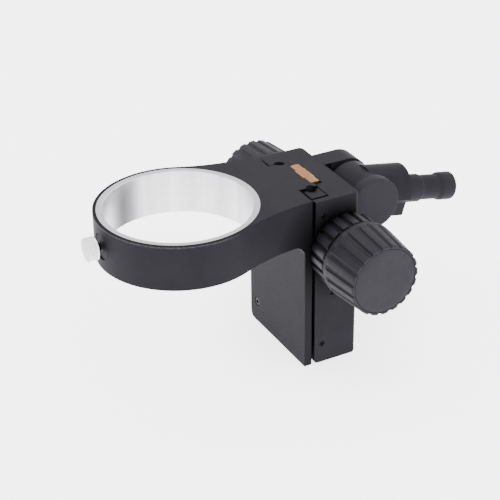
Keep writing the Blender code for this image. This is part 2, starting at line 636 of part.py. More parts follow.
cut(knuckle, rod(2.6, -20.0, 0.0, 14, origin=set_at, frame=UP_FRAME))
smooth(node("tilt_knuckle", knuckle, "tilt", "paint"))
pin_profile = [
    (0, 59.8), (6.8, 59.8), (7.75, 58.8), (7.75, 52.0), (7.6, 51.2), (6.85, 49.4), (6.85, 38.2), (7.65, 37.3), (7.65, 25.7), (7.25, 25.3),
    (5.0, 25.3), (5.0, 14.0), (0, 14.0),
]
node("mount_pin", turned(pin_profile, 32, origin=hinge, frame=PIN_FRAME), "tilt", "paint")
grub = turned([(0, -5.3), (1.5, -5.3), (2.3, -6.1), (2.3, -11.2), (2.0, -11.5), (0, -11.5)], 14, origin=set_at, frame=UP_FRAME)
cut(grub, outline(hexagon(2.5), -13.0, -9.4, origin=set_at, frame=UP_FRAME))
node("pin_set_screw", grub, "tilt", "dark_steel")
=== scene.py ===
"""Looks of the stereo microscope focusing holder: rounded castings, fluted knobs, knurled
thumbscrew and worn finishes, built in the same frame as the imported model."""

from math import asin, atan2, cos, degrees, floor, pi, radians, sin, sqrt, tan

import bmesh
import bpy
import numpy as np
from mathutils import Matrix, Vector


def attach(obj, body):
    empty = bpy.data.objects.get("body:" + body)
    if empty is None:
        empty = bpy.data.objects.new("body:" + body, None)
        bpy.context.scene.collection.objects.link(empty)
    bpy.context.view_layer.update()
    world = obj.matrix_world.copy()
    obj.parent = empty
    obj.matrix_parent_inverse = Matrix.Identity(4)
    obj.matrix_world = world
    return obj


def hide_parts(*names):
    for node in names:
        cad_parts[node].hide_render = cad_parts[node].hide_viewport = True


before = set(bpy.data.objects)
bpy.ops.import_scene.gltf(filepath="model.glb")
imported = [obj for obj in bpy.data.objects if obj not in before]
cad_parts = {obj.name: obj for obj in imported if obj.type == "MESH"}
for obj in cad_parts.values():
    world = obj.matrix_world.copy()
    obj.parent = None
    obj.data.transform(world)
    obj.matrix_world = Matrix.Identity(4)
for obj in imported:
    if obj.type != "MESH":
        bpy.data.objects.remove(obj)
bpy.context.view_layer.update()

MM = 0.001
GAP = 0.3
GIB_GAP = 0.7
HOUSING_W, HOUSING_FRONT, HOUSING_REAR, HOUSING_H = 59.6, -17.0, 8.8, 97.1
CHANNEL_X, CHANNEL_FLOOR, RACK_SLOT_X, RACK_SLOT_FLOOR, GIB_X1 = 16.0, -7.2, 11.7, -2.7, 25.4
GROOVE_Y, GROOVE_D, GROOVE_HALF, GROOVE_FLAT = -11.9, 2.4, 2.8, 0.9
CARRIAGE_Z0, CARRIAGE_Z1 = 0.3, 98.45
PLATE_FRONT, PLATE_REAR = -22.9, -18.6
ARM_Z0, RING_Y, BORE_R, RING_R, ARM_SIDE_R = 74.2, -79.2, 38.0, 42.9, 100.0
TONGUE_X, TONGUE_BACK = 15.85, -7.8
PINION_Z, SHAFT_R = 67.2, 2.5
KNOB_X0, KNOB_X1, KNOB_R0, KNOB_R1 = 43.8, 69.7, 21.2, 19.3
FLUTES, FLUTE_PHASE, COLLAR_R = 20, radians(10), 20.2
HINGE_Y, HINGE_Z, KNUCKLE_R, KNUCKLE_X0 = 27.4, 78.7, 13.4, -11.0
LUG_X0, LUG_X1, LUG_Y, LUG_R, DISC_R = -28.1, -14.9, 29.2, 12.8, 14.5
PIN_PITCH = radians(10.5)
CLAMP_Z, STOP_X, STOP_Z = 86.6, -22.6, 12.7
FOCUS_DOWN, FOCUS_UP = 8.0, 42.0
HEAD = -130.0
W = HOUSING_W / 2

# ----------------------------------------------------------------- camera

CAM_AZ, CAM_EL, CAM_ROLL = radians(62.22), radians(29.68), radians(-0.80)
forward = Vector((-sin(CAM_AZ) * cos(CAM_EL), cos(CAM_AZ) * cos(CAM_EL), -sin(CAM_EL)))
side = Vector((cos(CAM_AZ), sin(CAM_AZ), 0))
above = side.cross(forward)
right_axis = side * cos(CAM_ROLL) + above * sin(CAM_ROLL)
up_axis = -side * sin(CAM_ROLL) + above * cos(CAM_ROLL)
lens = bpy.data.cameras.new("camera")
lens.sensor_width = 36
lens.lens = 107.62
lens.clip_start = 0.01
lens.clip_end = 50
camera = bpy.data.objects.new("camera", lens)
bpy.context.scene.collection.objects.link(camera)
pose = Matrix((right_axis, up_axis, -forward)).transposed().to_4x4()
pose.translation = Vector((0.60090, -0.35546, 0.44842))
camera.matrix_world = pose
bpy.context.scene.camera = camera


# --------------------------------------------------------------- modelling

FRAMES = {"X": ((0, 1, 0), (0, 0, 1)), "Z": ((1, 0, 0), (0, 1, 0)), "Y": ((0, 0, 1), (1, 0, 0))}


def frame_matrix(origin, u, v):
    u, v = Vector(u).normalized(), Vector(v).normalized()
    m = Matrix((u, v, u.cross(v))).transposed().to_4x4()
    m.translation = Vector(origin) * MM
    return m


def arc(cx, cy, r, a0, a1, steps):
    return [
        (cx + r * cos(radians(a0 + (a1 - a0) * i / steps)), cy + r * sin(radians(a0 + (a1 - a0) * i / steps)))
        for i in range(steps + 1)
    ]


def soft(points, closed=True, steps=4):
    """Rounds each corner given as (a, b, radius) and keeps the others."""
    out, n = [], len(points)
    for i, p in enumerate(points):
        a, b = p[0], p[1]
        r = p[2] if len(p) > 2 else 0
        if r <= 0 or (not closed and i in (0, n - 1)):
            out.append((a, b))
            continue
        before, after = points[i - 1], points[(i + 1) % n]
        u, v = Vector((before[0] - a, before[1] - b)), Vector((after[0] - a, after[1] - b))
        lu, lv = u.length, v.length
        u.normalize()
        v.normalize()
        ang = u.angle(v)
        if ang > radians(177):
            out.append((a, b))
            continue
        d = min(r / tan(ang / 2), 0.49 * lu, 0.49 * lv)
        rr = d * tan(ang / 2)
        c = Vector((a, b)) + (u + v).normalized() * (rr / sin(ang / 2))
        s, e = Vector((a, b)) + u * d - c, Vector((a, b)) + v * d - c
        a0 = atan2(s.y, s.x)
        da = (atan2(e.y, e.x) - a0 + pi) % (2 * pi) - pi
        out += [(c.x + rr * cos(a0 + da * k / steps), c.y + rr * sin(a0 + da * k / steps)) for k in range(steps + 1)]
    return out


def prism(points, lo, hi, origin=(0, 0, 0), axis="Z", frame_of=None, rim=0.0, rim_steps=2):
    """A flat outline drawn out from lo to hi, with its rims rounded by rim."""
    loops = points if isinstance(points[0], list) else [points]
    curve = bpy.data.curves.new("prism", "CURVE")
    curve.dimensions = "2D"
    curve.fill_mode = "BOTH"
    curve.extrude = ((hi - lo) / 2 - rim) * MM
    if rim:
        curve.bevel_depth = rim * MM
        curve.bevel_resolution = rim_steps
        curve.offset = -rim * MM
    for loop in loops:
        spline = curve.splines.new("POLY")
        spline.points.add(len(loop) - 1)
        for point, (a, b) in zip(spline.points, loop):
            point.co = (a * MM, b * MM, 0, 1)
        spline.use_cyclic_u = True
    source = bpy.data.objects.new("prism", curve)
    bpy.context.scene.collection.objects.link(source)
    bpy.context.view_layer.update()
    mesh = bpy.data.meshes.new_from_object(source.evaluated_get(bpy.context.evaluated_depsgraph_get()))
    bpy.data.objects.remove(source, do_unlink=True)
    bm = bmesh.new()
    bm.from_mesh(mesh)
    bmesh.ops.remove_doubles(bm, verts=bm.verts, dist=1e-7)
    bmesh.ops.translate(bm, verts=bm.verts, vec=(0, 0, (hi + lo) / 2 * MM))
    bmesh.ops.dissolve_limit(bm, angle_limit=1e-4, verts=bm.verts, edges=bm.edges)
    bmesh.ops.recalc_face_normals(bm, faces=bm.faces)
    bm.to_mesh(mesh)
    bm.free()
    obj = bpy.data.objects.new("prism", mesh)
    obj.matrix_world = frame_matrix(origin, *(frame_of or FRAMES[axis]))
    bpy.context.scene.collection.objects.link(obj)
    return obj


def lathe(profile, steps, origin=(0, 0, 0), axis="Z", frame_of=None, shape=None, ring=False, mirror=False):
    """Turns (radius, height) points about local Z; shape(angle, height, radius) may move the radius."""
    rows = [(r, -h) for r, h in reversed(profile)] if mirror else list(profile)
    verts, faces, n = [], [], len(rows)
    for r, h in rows:
        for i in range(steps):
            a = 2 * pi * i / steps
            q = shape(a, -h if mirror else h, r) if shape and r > 0 else r
            verts.append((q * cos(a) * MM, q * sin(a) * MM, h * MM))
    for j in range(n if ring else n - 1):
        k = (j + 1) % n
        for i in range(steps):
            m = (i + 1) % steps
            faces.append((j * steps + i, k * steps + i, k * steps + m, j * steps + m))
    mesh = bpy.data.meshes.new("lathe")
    mesh.from_pydata(verts, [], faces)
    bm = bmesh.new()
    bm.from_mesh(mesh)
    bmesh.ops.remove_doubles(bm, verts=bm.verts, dist=1e-7)
    bmesh.ops.recalc_face_normals(bm, faces=bm.faces)
    bm.to_mesh(mesh)
    bm.free()
    obj = bpy.data.objects.new("lathe", mesh)
    obj.matrix_world = frame_matrix(origin, *(frame_of or FRAMES[axis]))
    bpy.context.scene.collection.objects.link(obj)
    return obj


def refine(profile, step, ring=False):
    """Adds points along long straight runs."""
    out, n = [], len(profile)
    for i in range(n if ring else n - 1):
        (r0, h0), (r1, h1) = profile[i], profile[(i + 1) % n]
        count = max(1, int(sqrt((r1 - r0) ** 2 + (h1 - h0) ** 2) / step))
        out += [(r0 + (r1 - r0) * k / count, h0 + (h1 - h0) * k / count) for k in range(count)]
    return out if ring else out + [profile[-1]]


def bake(obj):
    bpy.context.view_layer.update()
    mesh = bpy.data.meshes.new_from_object(obj.evaluated_get(bpy.context.evaluated_depsgraph_get()))
    obj.modifiers.clear()
    obj.data = mesh
    return obj


def combine(obj, operation, *tools):
    for tool in tools:
        mod = obj.modifiers.new("op", "BOOLEAN")
        mod.operation = operation
        mod.solver = "EXACT"
        mod.object = tool
        bake(obj)
        bpy.data.objects.remove(tool, do_unlink=True)
    return obj


def cut(obj, *tools):
    return combine(obj, "DIFFERENCE", *tools)


def join(obj, *tools):
    return combine(obj, "UNION", *tools)


def edges_soft(obj, width, segments=3, angle=32):
    """Rounds the edges and keeps the flat faces flat."""
    obj.data.transform(obj.matrix_world)
    obj.matrix_world = Matrix.Identity(4)
    bm = bmesh.new()
    bm.from_mesh(obj.data)
    bmesh.ops.remove_doubles(bm, verts=bm.verts, dist=2e-5)
    bmesh.ops.dissolve_limit(bm, angle_limit=radians(0.6), verts=bm.verts, edges=bm.edges)
    bmesh.ops.recalc_face_normals(bm, faces=bm.faces)
    bm.to_mesh(obj.data)
    bm.free()
    mod = obj.modifiers.new("round", "BEVEL")
    mod.width = width * MM
    mod.segments = segments
    mod.limit_method = "ANGLE"
    mod.angle_limit = radians(angle)
    mod.use_clamp_overlap = True
    mod.miter_outer = "MITER_ARC"
    bake(obj)
    return even(obj, 50)


def even(obj, angle=40):
    obj.data.shade_smooth()
    obj.data.set_sharp_from_angle(angle=radians(angle))
    mod = obj.modifiers.new("normals", "WEIGHTED_NORMAL")
    mod.keep_sharp = True
    mod.weight = 60
    return bake(obj)


def smooth(obj, angle=40):
    obj.data.shade_smooth()
    obj.data.set_sharp_from_angle(angle=radians(angle))
    return obj


def hexagon(across, phase=0):
    r = across / sqrt(3)
    return [(r * cos(radians(60 * i + phase)), r * sin(radians(60 * i + phase))) for i in range(6)]


# --------------------------------------------------------------- materials

class Nodes:
    """Short calls that add nodes to one material."""

    def __init__(self, name):
        self.mat = bpy.data.materials.new(name)
        self.mat.use_nodes = True
        self.tree = self.mat.node_tree
        self.shader = self.tree.nodes["Principled BSDF"]
        self.place = self.add("ShaderNodeTexCoord").outputs["Object"]

    def add(self, kind, **values):
        made = self.tree.nodes.new(kind)
        for key, value in values.items():
            setattr(made, key, value)
        return made

    def link(self, a, b):
        self.tree.links.new(a, b)

    def put(self, socket, value):
        if isinstance(value, bpy.types.NodeSocket):
            self.link(value, socket)
        else:
            socket.default_value = value

    def math(self, operation, a, b=0.0, c=0.0):
        made = self.add("ShaderNodeMath", operation=operation)
        self.put(made.inputs[0], a)
        self.put(made.inputs[1], b)
        self.put(made.inputs[2], c)
        return made.outputs[0]

    def noise(self, scale, detail=3.0, rough=0.55, place=None, stretch=None, distortion=0.0):
        made = self.add("ShaderNodeTexNoise")
        made.inputs["Scale"].default_value = scale
        made.inputs["Detail"].default_value = detail
        made.inputs["Roughness"].default_value = rough
        made.inputs["Distortion"].default_value = distortion
        source = place or self.place
        if stretch:
            mapping = self.add("ShaderNodeMapping")
            mapping.inputs["Scale"].default_value = stretch
            self.link(source, mapping.inputs["Vector"])
            source = mapping.outputs["Vector"]
        self.link(source, made.inputs["Vector"])
        return made.outputs["Fac"]

    def ramp(self, value, *stops):
        made = self.add("ShaderNodeValToRGB")
        while len(made.color_ramp.elements) < len(stops):
            made.color_ramp.elements.new(0.5)
        for element, (at, colour) in zip(made.color_ramp.elements, stops):
            element.position = at
            element.color = (*colour, 1) if hasattr(colour, "__len__") else (colour, colour, colour, 1)
        self.link(value, made.inputs["Fac"])
        return made.outputs["Color"]

    def span(self, value, a, b, c, d):
        made = self.add("ShaderNodeMapRange")
        for key, number in zip(("From Min", "From Max", "To Min", "To Max"), (a, b, c, d)):
            made.inputs[key].default_value = number
        self.link(value, made.inputs["Value"])
        return made.outputs["Result"]

    def mix(self, factor, a, b):
        made = self.add("ShaderNodeMix", data_type="RGBA")
        self.put(made.inputs["Factor"], factor)
        self.put(made.inputs[6], a if isinstance(a, bpy.types.NodeSocket) else (*a, 1))
        self.put(made.inputs[7], b if isinstance(b, bpy.types.NodeSocket) else (*b, 1))
        return made.outputs[2]

    def axes(self):
        """The three coordinates in millimetres."""
        split = self.add("ShaderNodeSeparateXYZ")
        self.link(self.place, split.inputs[0])
        return [self.math("MULTIPLY", value, 1000.0) for value in split.outputs]

    def within(self, value, lo, hi, soft=0.1):
        """1 between lo and hi and 0 outside, either of which may be None."""
        rise = self.span(value, lo - soft, lo + soft, 0, 1) if lo is not None else None
        fall = self.span(value, hi - soft, hi + soft, 1, 0) if hi is not None else None
        return self.math("MULTIPLY", rise, fall) if rise and fall else rise or fall

    def most(self, *masks):
        out = masks[0]
        for mask in masks[1:]:
            out = self.math("MAXIMUM", out, mask)
        return out

    def all_of(self, *masks):
        out = masks[0]
        for mask in masks[1:]:
            out = self.math("MULTIPLY", out, mask)
        return out

    def distance(self, a, b, a0, b0):
        da, db = self.math("SUBTRACT", a, a0), self.math("SUBTRACT", b, b0)
        return self.math("SQRT", self.math("ADD", self.math("MULTIPLY", da, da), self.math("MULTIPLY", db, db)))

    def bump(self, height, strength, distance, normal=None):
        made = self.add("ShaderNodeBump")
        made.inputs["Strength"].default_value = strength
        made.inputs["Distance"].default_value = distance
        self.link(height, made.inputs["Height"])
        if normal:
            self.link(normal, made.inputs["Normal"])
        return made.outputs["Normal"]

    def out(self, **sockets):
        for key, value in sockets.items():
            self.put(self.shader.inputs[key.replace("_", " ")], value)
        return self.mat


def paint(name, low, high, rough=(0.54, 0.64), grain=1500.0, depth=0.00004, bare=None, painted_shade=None, chips=None):
    """Satin paint on a casting: fine orange peel, faint mottle, a few pale specks."""
    n = Nodes(name)
    broad = n.noise(38, 4)
    fine = n.noise(grain, 3, 0.6)
    speck = n.span(n.noise(620, 2, 0.4), 0.70, 0.76, 0, 1)
    colour = n.mix(n.span(broad, 0.3, 0.7, 0, 1), low, high)
    colour = n.mix(n.math("MULTIPLY", speck, 0.3), colour, tuple(min(1, 2.4 * v) for v in high))
    scuff = n.span(n.noise(160, 5, 0.7, stretch=(1, 1, 0.25)), 0.62, 0.75, 0, 1)
    colour = n.mix(n.math("MULTIPLY", scuff, 0.22), colour, tuple(1.6 * v for v in high))
    roughness = n.math("ADD", n.span(fine, 0.3, 0.7, rough[0], rough[1]), n.math("MULTIPLY", scuff, 0.05))
    # painted shade: the given mask darkens the paint to near-black in seams, recesses and shaded corners
    if painted_shade:
        colour = n.mix(painted_shade(n), colour, tuple(0.06 * v for v in low))
    if chips:
        colour = n.mix(chips(n), colour, (0.16, 0.16, 0.17))
    normal = n.bump(fine, 0.35, depth)
    normal = n.bump(broad, 0.2, 0.0002, normal)
    metal = 0.0
    if bare:
        mask, metal_colour, metal_rough, metal_normal = bare(n)
        colour = n.mix(mask, colour, metal_colour)
        roughness = n.math("ADD", n.math("MULTIPLY", roughness, n.math("SUBTRACT", 1.0, mask)), n.math("MULTIPLY", metal_rough, mask))
        metal = mask
        normal = metal_normal(normal) if metal_normal else normal
    return n.out(Base_Color=colour, Roughness=roughness, Metallic=metal, Normal=normal, Specular_IOR_Level=0.06)


def housing_painted_shade(n):
    """Painted shade on the slide faces and in the seams, a painted shadow on the side behind the collar, and painted
    shade round the hinge.
    """
    x, y, z = n.axes()
    channel = n.all_of(n.within(x, -CHANNEL_X - 0.45, GIB_X1 + GIB_GAP + 0.45), n.within(y, None, CHANNEL_FLOOR + 0.45))
    slot = n.all_of(n.within(x, -RACK_SLOT_X - 0.4, RACK_SLOT_X + 0.4), n.within(y, None, RACK_SLOT_FLOOR + 0.5))
    rods = n.within(n.distance(n.math("ABSOLUTE", x), y, CHANNEL_X + 0.9, GROOVE_Y), None, 2.9)
    front = n.within(y, None, HOUSING_FRONT + 0.35)
    halo = n.all_of(n.span(n.distance(y, z, 0, PINION_Z), 21.0, 31.0, 1.0, 0.0), n.within(x, W - 0.6, None))
    hinge = n.all_of(n.within(y, HOUSING_REAR - 0.3, 19.0, 0.6), n.within(x, LUG_X1 - 0.4, None, 0.3), n.within(z, 60.0, None, 3.0))
    return n.most(channel, slot, rods, front, halo, n.math("MULTIPLY", hinge, 0.9))


def arm_painted_shade(n):
    """Painted shade on the slide's seams, the back of the plate, the ring's painted rim and the corner behind the
    collar, and painted shade darkening the plate's front towards the bottom.
    """
    x, y, z = n.axes()
    wide = n.math("ABSOLUTE", x)
    seam = n.all_of(n.within(wide, TONGUE_X - 0.45, None), n.within(y, PLATE_REAR - 0.5, None))
    end = n.within(y, TONGUE_BACK - 0.4, None)
    rods = n.within(n.distance(wide, y, CHANNEL_X + 0.9, GROOVE_Y), None, 2.9)
    radius = n.distance(x, y, 0, RING_Y)
    bottom = n.all_of(n.span(z, 8.0, 62.0, 0.42, 0.0), n.within(y, None, PLATE_REAR))
    rim = n.all_of(n.within(radius, 41.15, 42.85), n.within(z, CARRIAGE_Z1 - 0.5, None), n.within(y, None, RING_Y + 22.0, 4.0))
    halo = n.all_of(n.span(n.distance(y, z, 0, PINION_Z), 22.0, 42.0, 1.0, 0.0), n.within(x, W - 1.2, None))
    return n.most(seam, end, rods, n.math("MULTIPLY", rim, 0.75), halo, bottom)


def arm_chips(n):
    """Paint worn through along the ring's top edge."""
    x, y, z = n.axes()
    flecks = n.span(n.noise(2600, 3, 0.65), 0.46, 0.64, 0, 0.34)
    edge = n.all_of(n.within(n.distance(x, y, 0, RING_Y), 42.45, None), n.within(z, CARRIAGE_Z1 - 0.95, CARRIAGE_Z1 - 0.12), n.within(y, None, RING_Y + 10.0, 6.0))
    return n.math("MULTIPLY", flecks, edge)


def gib_painted_shade(n):
    # Painted shade along the gib's edges where it meets the channel and the housing, and in the rod groove.
    x, y, z = n.axes()
    rods = n.within(n.distance(x, y, CHANNEL_X + 0.9, GROOVE_Y), None, 2.9)
    return n.most(rods, n.within(x, None, CHANNEL_X + 0.4), n.within(x, GIB_X1 - 0.7, None), n.within(y, None, HOUSING_FRONT + 0.75))


def knuckle_painted_shade(n):
    # Painted shade on the barrel's end next to the cap, on its end next to the ear, and lighter painted shade on the
    # side facing the housing.
    x, y, z = n.axes()
    barrel = n.all_of(n.within(x, 9.6, None), n.within(n.distance(y, z, HINGE_Y, HINGE_Z), None, DISC_R + 0.9))
    return n.most(barrel, n.within(x, None, KNUCKLE_X0 + 0.5), n.math("MULTIPLY", n.within(y, None, 16.0, 2.0), 0.6))


def cap_painted_shade(n):
    # Painted shade on the cap's inner side, next to the knuckle.
    x, y, z = n.axes()
    return n.within(x, None, 10.9)


def turned_ring(n):
    """Bare metal on the ring's bore and on its flat top face, with fine turning marks, painted reflection streaks round
    the ring and painted shade towards +x.
    """
    split = n.add("ShaderNodeSeparateXYZ")
    n.link(n.place, split.inputs[0])
    x, y, z = split.outputs
    dy = n.math("SUBTRACT", y, RING_Y * MM)
    radius = n.math("SQRT", n.math("ADD", n.math("MULTIPLY", x, x), n.math("MULTIPLY", dy, dy)))
    top = n.math("MULTIPLY", n.math("LESS_THAN", radius, 0.0411), n.math("GREATER_THAN", z, (CARRIAGE_Z1 - 0.12) * MM))
    bore = n.math("LESS_THAN", radius, 0.03863)
    mask = n.math("MAXIMUM", top, bore)
    turn = n.math("ARCTAN2", dy, x)
    along = n.add("ShaderNodeCombineXYZ")
    n.link(n.math("MULTIPLY", radius, 1.0), along.inputs[0])
    n.link(n.math("MULTIPLY", turn, 0.0009), along.inputs[1])
    n.link(z, along.inputs[2])
    marks = n.noise(5200, 2, 0.5, place=along.outputs[0])
    # painted reflection: broad light and dark streaks by angle round the ring stand in for the bore's reflections
    around = n.add("ShaderNodeCombineXYZ")
    n.link(turn, around.inputs[0])
    painted_streaks = n.noise(3.1, 3, 0.5, place=around.outputs[0])
    colour = n.mix(n.span(painted_streaks, 0.3, 0.7, 0, 1), (0.46, 0.46, 0.47), (0.76, 0.76, 0.77))
    # painted shade: the bare metal is darker towards +x
    colour = n.mix(n.span(x, -0.022, 0.034, 0.0, 0.75), colour, (0.40, 0.40, 0.405))
    colour = n.mix(n.span(marks, 0.35, 0.65, 0, 0.35), colour, (0.42, 0.42, 0.44))
    colour = n.mix(n.math("MULTIPLY", top, 0.8), colour, (0.36, 0.36, 0.37))
    rough = n.span(marks, 0.3, 0.7, 0.28, 0.44)
    return mask, colour, rough, lambda normal: n.bump(n.math("MULTIPLY", marks, mask), 0.25, 0.00003, normal)


def collar_painted_shade(n):
    """Painted shade in the collar's grooves and on its side next to the housing."""
    x, y, z = n.axes()
    root = n.within(n.distance(y, z, 0, PINION_Z), None, COLLAR_R - 0.75, 0.35)
    return n.most(n.math("MULTIPLY", root, 0.45), n.span(x, W, W + 9.0, 0.95, 0.0))


def plastic(name, low=(0.0080, 0.0074, 0.0093), high=(0.0115, 0.0107, 0.0131), rough=(0.50, 0.60), painted_shade=None):
    """Moulded plastic with a fine spark-eroded grain, and a near-black band of painted shade over the knob-collar gap.
    """
    n = Nodes(name)
    fine = n.noise(2400, 2, 0.5)
    broad = n.noise(60, 4)
    dust = n.span(n.noise(900, 1, 0.3), 0.72, 0.77, 0, 0.2)
    colour = n.mix(n.span(broad, 0.3, 0.7, 0, 1), low, high)
    colour = n.mix(n.math("MULTIPLY", dust, 0.25), colour, (0.12, 0.12, 0.13))
    # painted shade: near-black band over the gap between knob and collar, running onto the knob's back rim
    gap = n.within(n.math("ABSOLUTE", n.axes()[0]), 42.0, KNOB_X0 + 1.6)
    gap = n.most(gap, painted_shade(n)) if painted_shade else gap
    colour = n.mix(gap, colour, tuple(0.05 * v for v in low))
    return n.out(Base_Color=colour, Roughness=n.span(n.noise(300, 3), 0.3, 0.7, *rough), Metallic=0.0, Normal=n.bump(fine, 0.3, 0.00004),
                 Specular_IOR_Level=0.11)


def metal(name, low, high, rough=(0.25, 0.4), stretch=(1, 1, 1), scale=1800, depth=0.00003):
    """Bare metal with cut marks drawn out along one direction."""
    n = Nodes(name)
    marks = n.noise(scale, 3, 0.6, stretch=stretch)
    stain = n.noise(90, 4, 0.6)
    colour = n.mix(n.span(stain, 0.35, 0.65, 0, 1), low, high)
    colour = n.mix(n.span(marks, 0.4, 0.7, 0, 0.3), colour, tuple(0.6 * v for v in low))
    return n.out(Base_Color=colour, Roughness=n.span(marks, 0.3, 0.7, *rough), Metallic=1.0, Normal=n.bump(marks, 0.3, depth))


def screw_metal(name):
    """A bare aluminium head; the shank is coloured near-black as painted shade under the head."""
    n = Nodes(name)
    split = n.add("ShaderNodeSeparateXYZ")
    n.link(n.place, split.inputs[0])
    shank = n.math("GREATER_THAN", split.outputs[1], -0.1239)
    end = n.math("LESS_THAN", split.outputs[1], (HEAD + 0.2) * MM)
    x, y, z = n.axes()
    # painted shade: darker at the knurl roots, on the head's back face and on the neck
    root = n.span(n.distance(x, z, 0, CLAMP_Z), 5.8, 6.05, 1.0, 0.0)
    marks = n.noise(1800, 3, 0.6, stretch=(1, 0.1, 1))
    stain = n.noise(90, 4, 0.6)
    bright = n.mix(n.span(stain, 0.35, 0.65, 0, 1), (0.86, 0.86, 0.88), (0.96, 0.96, 0.97))
    # painted shade: the near-black shank colour
    dark = n.mix(n.span(stain, 0.35, 0.65, 0, 1), (0.012, 0.012, 0.014), (0.03, 0.03, 0.034))
    bright = n.mix(n.math("MULTIPLY", root, 0.7), bright, (0.25, 0.25, 0.26))
    bright = n.mix(end, bright, n.mix(n.span(stain, 0.35, 0.65, 0, 1), (0.34, 0.34, 0.35), (0.42, 0.42, 0.43)))
    return n.out(Base_Color=n.mix(shank, bright, dark), Roughness=n.span(marks, 0.3, 0.7, 0.28, 0.42), Metallic=1.0,
                 Normal=n.bump(marks, 0.3, 0.00003))


def fibre(name, low, high):
    n = Nodes(name)
    weave = n.noise(1400, 4, 0.7)
    return n.out(Base_Color=n.mix(n.span(weave, 0.35, 0.65, 0, 1), low, high), Roughness=n.span(weave, 0.3, 0.7, 0.7, 0.9),
                 Metallic=0.0, Normal=n.bump(weave, 0.4, 0.00006))


PAINT_LOW, PAINT_HIGH = (0.0072, 0.0066, 0.0083), (0.0101, 0.0094, 0.0116)
looks = {
    "housing": paint("housing_paint", PAINT_LOW, PAINT_HIGH, painted_shade=housing_painted_shade),
    "gib": paint("gib_paint", PAINT_LOW, PAINT_HIGH, painted_shade=gib_painted_shade),
    "knuckle": paint("knuckle_paint", PAINT_LOW, PAINT_HIGH, painted_shade=knuckle_painted_shade),
    "pin": paint("pin_paint", tuple(1.3 * v for v in PAINT_LOW), tuple(1.3 * v for v in PAINT_HIGH)),
    "cap": paint("cap_paint", tuple(1.6 * v for v in PAINT_LOW), tuple(1.6 * v for v in PAINT_HIGH), painted_shade=cap_painted_shade),
    "arm": paint("arm_paint", PAINT_LOW, PAINT_HIGH, bare=turned_ring, painted_shade=arm_painted_shade, chips=arm_chips),
    "plastic": plastic("knob_plastic"),
    "collar": plastic("collar_plastic", low=(0.0100, 0.0093, 0.0117), high=(0.0140, 0.0131, 0.0163), rough=(0.36, 0.46), painted_shade=collar_painted_shade),
    "steel": metal("ground_steel", (0.45, 0.45, 0.47), (0.6, 0.6, 0.62)),
    "dark_steel": metal("black_oxide", (0.020, 0.020, 0.023), (0.042, 0.042, 0.047), rough=(0.35, 0.5)),
    "aluminium": screw_metal("bare_aluminium"),
    "brass": metal("machined_brass", (0.215, 0.100, 0.022), (0.285, 0.142, 0.036), rough=(0.3, 0.42), stretch=(0.1, 1, 1)),
    "bronze": metal("sintered_bronze", (0.45, 0.3, 0.16), (0.6, 0.42, 0.24), rough=(0.4, 0.55)),
    "fibre": fibre("red_fibre", (0.075, 0.024, 0.017), (0.125, 0.042, 0.03)),
    "nylon": fibre("natural_nylon", (0.66, 0.66, 0.6), (0.8, 0.8, 0.75)),
}


def piece(name, obj, body, look, *nodes):
    """Names a finished piece, gives it its finish and lets it stand for its CAD nodes."""
    obj.data.transform(obj.matrix_world)
    obj.matrix_world = Matrix.Identity(4)
    obj.name = name
    obj.data.name = name
    obj.data.materials.clear()
    obj.data.materials.append(looks[look])
    obj.data.polygons.foreach_set("material_index", [0] * len(obj.data.polygons))
    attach(obj, body)
    if nodes:
        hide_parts(*nodes)
    return obj


# ----------------------------------------------------------------- housing

def groove(x, to):
    deep = x + to * GROOVE_D
    return [(x, GROOVE_Y - GROOVE_HALF), (deep, GROOVE_Y - GROOVE_FLAT), (deep, GROOVE_Y + GROOVE_FLAT), (x, GROOVE_Y + GROOVE_HALF)]


profile = (
    arc(HOUSING_FRONT + 2.5, 2.5, 2.5, 180, 270, 10)
    + arc(HOUSING_REAR - 2.5, 2.5, 2.5, -90, 0, 10)
    + [(HOUSING_REAR, HOUSING_H), (HOUSING_FRONT, HOUSING_H)]
)
plan = (
    [(-W, HOUSING_FRONT - 2), (W, HOUSING_FRONT - 2)]
    + arc(W - 2.2, HOUSING_REAR - 2.2, 2.2, 0, 90, 10)
    + arc(-W + 2.2, HOUSING_REAR - 2.2, 2.2, 90, 180, 10)
)
housing = prism(profile, -W - 2, W + 2, axis="X")
combine(housing, "INTERSECT", prism(plan, -3, HOUSING_H + 3, axis="Z"))
ear = soft([(HOUSING_REAR - 4, HINGE_Z + LUG_R), (HOUSING_REAR - 4, 54.5), (HOUSING_REAR, 54.5), (HOUSING_REAR + 2.2, 57.5, 3.0)], steps=6)
ear += arc(LUG_Y, HINGE_Z, LUG_R, -62, 90, 40)
join(housing, prism(ear, LUG_X0, LUG_X1, axis="X"))
join(housing, lathe([(0, KNUCKLE_X0 - 1.3), (9.0, KNUCKLE_X0 - 1.3), (9.0, LUG_X1 - 2), (0, LUG_X1 - 2)], 64, origin=(0, HINGE_Y, HINGE_Z), axis="X"))
y0 = HOUSING_FRONT - 3
channel = [
    (-CHANNEL_X, y0), (GIB_X1 + GIB_GAP, y0), (GIB_X1 + GIB_GAP, CHANNEL_FLOOR), (RACK_SLOT_X, CHANNEL_FLOOR), (RACK_SLOT_X, RACK_SLOT_FLOOR),
    (-RACK_SLOT_X, RACK_SLOT_FLOOR), (-RACK_SLOT_X, CHANNEL_FLOOR), (-CHANNEL_X, CHANNEL_FLOOR), *reversed(groove(-CHANNEL_X, -1)),
]
cut(housing, prism(channel, -5, HOUSING_H + 5, axis="Z"))
cut(housing, lathe([(0, W + 5), (5.3, W + 5), (5.3, -W - 5), (0, -W - 5)], 48, origin=(0, 0, PINION_Z), axis="X"))
